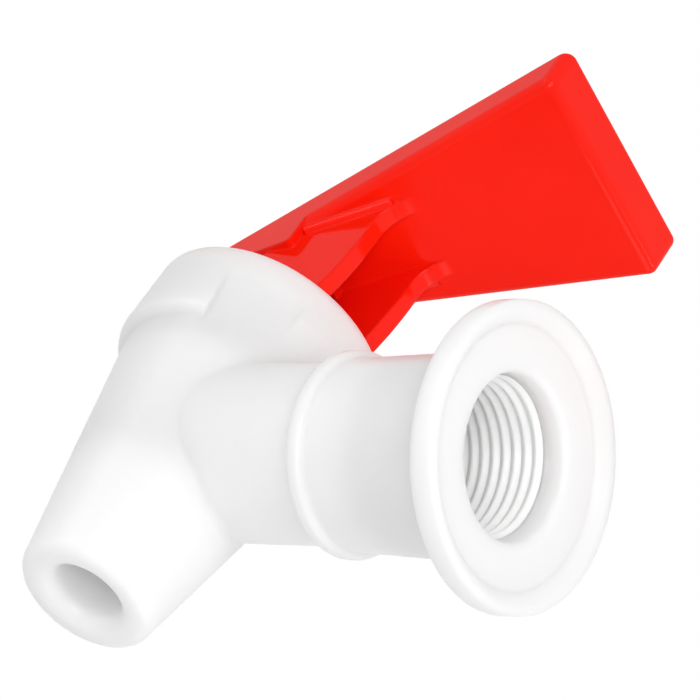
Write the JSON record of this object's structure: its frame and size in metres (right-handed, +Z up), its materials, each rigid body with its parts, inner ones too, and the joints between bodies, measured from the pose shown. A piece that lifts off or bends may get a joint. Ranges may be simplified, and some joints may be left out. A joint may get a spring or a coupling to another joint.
{
  "type": "water cooler tap",
  "caption": "Push-lever tap with a threaded flanged inlet, a tapered barrel ending in a downward spout, and a wide lever that lifts a spring-closed seat cup.",
  "frame": {"origin": "centre of the flange rim's front plane, on the inlet axis, where the tap meets the cooler wall", "axes": "+Y leaves the inlet along its axis, towards the cooler; +Z is up, along the barrel axis towards the lever; +X is to the side"},
  "size_m": [0.0334, 0.0613, 0.0735],
  "materials": {
    "white_plastic": "satin gloss moulded plastic",
    "white_insert": "moulded plastic",
    "red_plastic": "gloss moulded plastic",
    "silicone": "matt silicone",
    "steel": "drawn stainless steel"
  },
  "bodies": {
    "tap": {"tap_body": "white_plastic", "bonnet": "white_insert"},
    "seat": {"seat_cup": "silicone", "stem_spring": "steel"},
    "stem": {"valve_stem": "red_plastic", "pivot_pin": "steel"},
    "lever": {"lever": "red_plastic"}
  },
  "joints": [
    {"name": "stem_lift", "type": "slide", "parent": "tap", "child": "seat", "axis": [0, 0, 1], "range_m": [0, 0.0023], "deforming": ["seat_cup", "stem_spring"]},
    {"name": "swivel", "type": "hinge", "parent": "seat", "child": "stem", "pos_m": [0, -0.0467, 0], "axis": [0, 0, 1], "continuous": true},
    {"name": "lever_press", "type": "hinge", "parent": "stem", "child": "lever", "pos_m": [0, -0.0467, 0.02585], "axis": [-0.9979, 0.0645, 0], "range_deg": [0, 22], "stiffness_Nm_per_rad": 0.018, "springref_deg": -38.22}
  ],
  "couplings": [
    {"joint": "lever_press", "follows": "stem_lift", "rad_per_m": 166.67}
  ]
}
